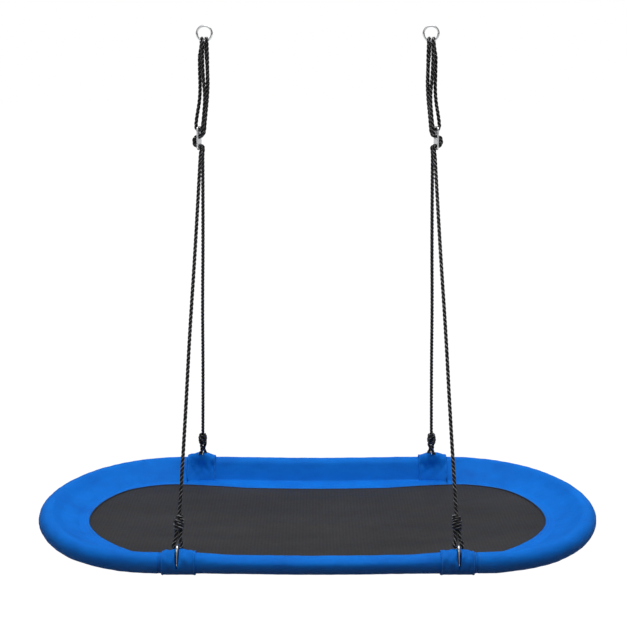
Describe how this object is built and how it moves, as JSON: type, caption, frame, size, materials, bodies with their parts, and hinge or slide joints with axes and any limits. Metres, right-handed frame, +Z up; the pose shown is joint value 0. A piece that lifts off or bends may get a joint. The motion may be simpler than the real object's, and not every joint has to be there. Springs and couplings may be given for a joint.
{
  "type": "saucer nest swing",
  "caption": "Oval nest swing: padded steel rim with a stretched cloth mat, hung by adjustable ropes with sliding plates from hanging rings, with a snap hook at each rope's end.",
  "frame": {"origin": "midway between the centres of the two hanging rings, on the line the swing hangs from", "axes": "+X along the seat's length from the left ring to the right ring, +Y from the front side to the rear side, +Z up"},
  "size_m": [1.524, 0.8532, 1.3469],
  "materials": {
    "cover_cloth": "matte",
    "wrap_cloth": "matte",
    "mat_cloth": "matte",
    "rope": "satin",
    "foam": "matte",
    "frame_steel": "satin",
    "ring_steel": "polished",
    "plate_steel": "satin",
    "carabiner_steel": "polished"
  },
  "bodies": {
    "rings": {"ring_left": "ring_steel", "ring_right": "ring_steel"},
    "rope_tops": {"rope_loop_outer_left": "rope", "rope_loop_inner_left": "rope", "rope_loop_outer_right": "rope", "rope_loop_inner_right": "rope"},
    "left_hanger": {"rope_strand_front_left": "rope", "rope_strand_outer_left": "rope", "rope_strand_middle_left": "rope", "rope_strand_rear_left": "rope"},
    "left_adjuster": {"adjuster_plate_left": "plate_steel", "rope_plate_loop_left": "rope", "rope_weave_front_left": "rope", "rope_weave_rear_left": "rope"},
    "left_legs": {"rope_leg_front_left": "rope", "rope_leg_rear_left": "rope", "rope_knot_front_left": "rope", "rope_knot_rear_left": "rope"},
    "right_hanger": {"rope_strand_front_right": "rope", "rope_strand_outer_right": "rope", "rope_strand_middle_right": "rope", "rope_strand_rear_right": "rope"},
    "right_adjuster": {"adjuster_plate_right": "plate_steel", "rope_plate_loop_right": "rope", "rope_weave_front_right": "rope", "rope_weave_rear_right": "rope"},
    "right_legs": {"rope_leg_front_right": "rope", "rope_leg_rear_right": "rope", "rope_knot_front_right": "rope", "rope_knot_rear_right": "rope"},
    "seat": {"seat_mat": "mat_cloth", "cover_front": "cover_cloth", "cover_back": "cover_cloth", "cover_left": "cover_cloth", "cover_right": "cover_cloth", "foam_front": "foam", "foam_back": "foam", "foam_left": "foam", "foam_right": "foam", "frame_bow_left": "frame_steel", "frame_bow_right": "frame_steel", "frame_side_front": "frame_steel", "frame_side_back": "frame_steel", "wrap_front_left": "wrap_cloth", "carabiner_front_left": "carabiner_steel", "gate_pin_front_left": "carabiner_steel", "wrap_front_right": "wrap_cloth", "carabiner_front_right": "carabiner_steel", "gate_pin_front_right": "carabiner_steel", "wrap_rear_left": "wrap_cloth", "carabiner_rear_left": "carabiner_steel", "gate_pin_rear_left": "carabiner_steel", "wrap_rear_right": "wrap_cloth", "carabiner_rear_right": "carabiner_steel", "gate_pin_rear_right": "carabiner_steel"},
    "gate_front_left": {"gate_front_left": "carabiner_steel"},
    "gate_front_right": {"gate_front_right": "carabiner_steel"},
    "gate_rear_left": {"gate_rear_left": "carabiner_steel"},
    "gate_rear_right": {"gate_rear_right": "carabiner_steel"}
  },
  "joints": [
    {"name": "fore_aft", "type": "hinge", "parent": "rings", "child": "rope_tops", "pos_m": [0, 0, -0.0185], "axis": [1, 0, 0], "range_deg": [-45, 45]},
    {"name": "sway", "type": "hinge", "parent": "rope_tops", "child": "left_hanger", "pos_m": [-0.293, 0, -0.0185], "axis": [0, 1, 0], "range_deg": [-10, 10]},
    {"name": "sway_right", "type": "hinge", "parent": "rope_tops", "child": "right_hanger", "pos_m": [0.293, 0, -0.0185], "axis": [0, 1, 0], "range_deg": [-10, 10]},
    {"name": "adjust", "type": "slide", "parent": "left_hanger", "child": "left_adjuster", "axis": [0, 0, 1], "range_m": [-0.28, 0.1], "deforming": ["rope_strand_front_left", "rope_strand_outer_left", "rope_strand_middle_left", "rope_strand_rear_left"]},
    {"name": "leg_length_left", "type": "slide", "parent": "left_adjuster", "child": "left_legs", "axis": [0, 0, 1], "range_m": [-0.21, 0.57], "deforming": ["rope_leg_front_left", "rope_leg_rear_left"]},
    {"name": "adjust_right", "type": "slide", "parent": "right_hanger", "child": "right_adjuster", "axis": [0, 0, 1], "range_m": [-0.28, 0.1], "deforming": ["rope_strand_front_right", "rope_strand_outer_right", "rope_strand_middle_right", "rope_strand_rear_right"]},
    {"name": "leg_length_right", "type": "slide", "parent": "right_adjuster", "child": "right_legs", "axis": [0, 0, 1], "range_m": [-0.21, 0.57], "deforming": ["rope_leg_front_right", "rope_leg_rear_right"]},
    {"name": "seat_tilt", "type": "hinge", "parent": "left_legs", "child": "seat", "pos_m": [-0.348, 0, -1.24807], "axis": [0, 1, 0], "range_deg": [-9, 9]},
    {"name": "gate_front_left", "type": "hinge", "parent": "seat", "child": "gate_front_left", "pos_m": [-0.348, -0.38035, -1.28956], "axis": [1, 0, 0], "range_deg": [0, 30], "stiffness_Nm_per_rad": 0.04, "springref_deg": -17.19},
    {"name": "gate_front_right", "type": "hinge", "parent": "seat", "child": "gate_front_right", "pos_m": [0.348, -0.38035, -1.28956], "axis": [1, 0, 0], "range_deg": [0, 30], "stiffness_Nm_per_rad": 0.04, "springref_deg": -17.19},
    {"name": "gate_rear_left", "type": "hinge", "parent": "seat", "child": "gate_rear_left", "pos_m": [-0.348, 0.38035, -1.28956], "axis": [-1, 0, 0], "range_deg": [0, 30], "stiffness_Nm_per_rad": 0.04, "springref_deg": -17.19},
    {"name": "gate_rear_right", "type": "hinge", "parent": "seat", "child": "gate_rear_right", "pos_m": [0.348, 0.38035, -1.28956], "axis": [-1, 0, 0], "range_deg": [0, 30], "stiffness_Nm_per_rad": 0.04, "springref_deg": -17.19}
  ],
  "couplings": [
    {"joint": "sway_right", "follows": "sway", "ratio": 1},
    {"joint": "seat_tilt", "follows": "sway", "ratio": -0.84195},
    {"joint": "adjust_right", "follows": "adjust", "ratio": 1},
    {"joint": "leg_length_left", "follows": "adjust", "ratio": -2},
    {"joint": "leg_length_right", "follows": "adjust", "ratio": -2}
  ]
}
